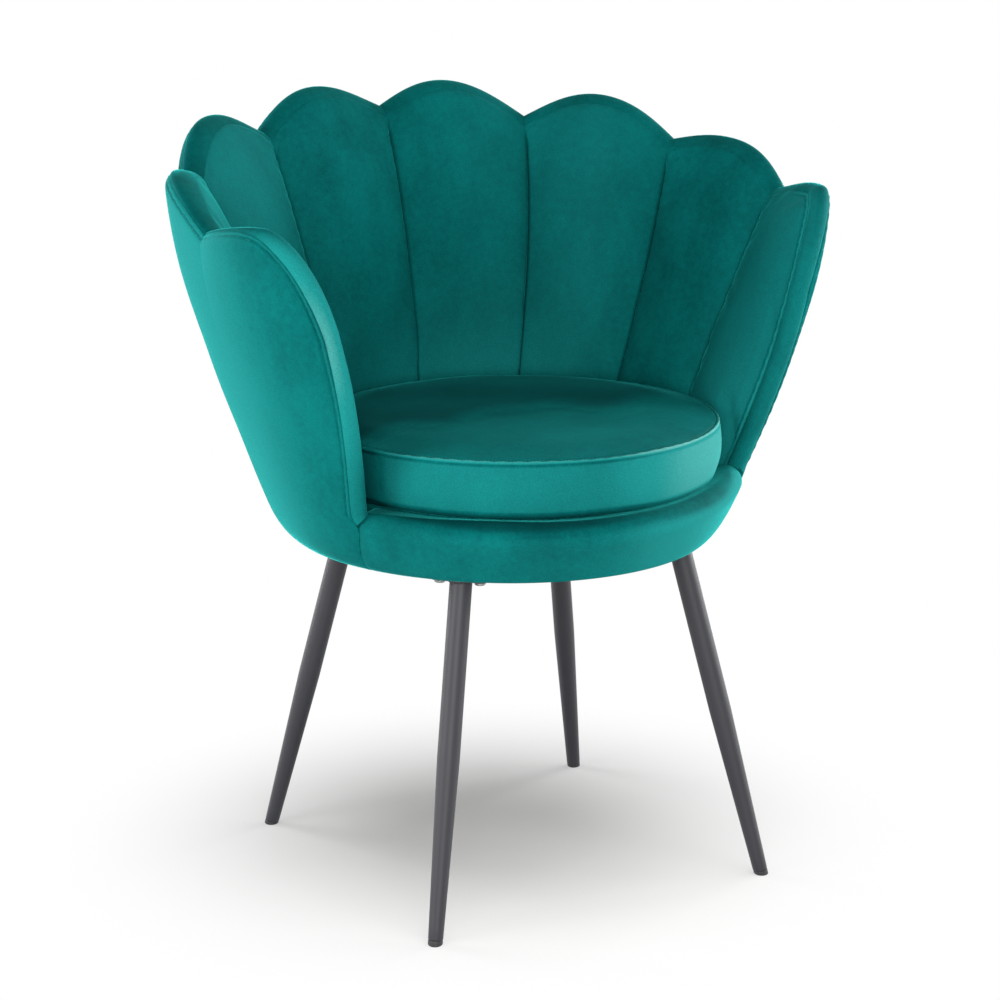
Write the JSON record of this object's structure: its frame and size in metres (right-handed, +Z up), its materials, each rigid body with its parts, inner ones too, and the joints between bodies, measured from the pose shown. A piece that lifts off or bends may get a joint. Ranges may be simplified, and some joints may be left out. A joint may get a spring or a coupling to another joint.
{
  "type": "shell armchair",
  "caption": "Shell armchair: a channelled, scalloped velvet tub on a round base, with a loose round seat cushion and slim splayed tapered legs.",
  "frame": {"origin": "on the floor, under the middle of the chair's bounding box", "axes": "+Z up; -Y is the front, where the sitter gets in and the rail is; +X is to the right, seen from the front"},
  "size_m": [0.7072, 0.556, 0.8047],
  "materials": {
    "velvet": "short-pile velvet",
    "powder_coat": "fine matt powder coat",
    "glide_plastic": "moulded",
    "zinc": "zinc plated",
    "dust_cloth": "non-woven cloth",
    "plywood": "sanded, unfinished",
    "webbing": "woven elastic",
    "frame_steel": "dull black",
    "foam": "open-cell foam"
  },
  "bodies": {
    "chair": {"leg_front_left": "powder_coat", "leg_front_right": "powder_coat", "leg_rear_left": "powder_coat", "leg_rear_right": "powder_coat", "glide_front_left": "glide_plastic", "glide_front_right": "glide_plastic", "glide_rear_left": "glide_plastic", "glide_rear_right": "glide_plastic", "leg_bolts": "zinc", "tee_nuts": "zinc", "dust_cover": "dust_cloth", "base_board": "plywood", "seat_ring": "plywood", "dowels": "plywood", "seat_webbing": "webbing", "deck_pad": "velvet", "lower_hoop": "frame_steel", "upper_hoop": "frame_steel", "upright_1": "frame_steel", "upright_2": "frame_steel", "upright_3": "frame_steel", "upright_4": "frame_steel", "upright_5": "frame_steel", "upright_6": "frame_steel", "upright_7": "frame_steel", "frame_tabs": "frame_steel", "tab_screws": "zinc", "outer_cover": "velvet", "edge_band": "velvet", "channel_pad_1": "velvet", "channel_pad_2": "velvet", "channel_pad_3": "velvet", "channel_pad_4": "velvet", "channel_pad_5": "velvet", "channel_pad_6": "velvet", "channel_pad_7": "velvet", "channel_pad_8": "velvet", "front_rail": "velvet"},
    "cushion": {"cushion_core": "foam", "cushion_cover": "velvet"}
  },
  "joints": [
    {"name": "cushion_lift", "type": "slide", "parent": "chair", "child": "cushion", "axis": [0, 0, 1], "range_m": [0, 0.4]}
  ]
}
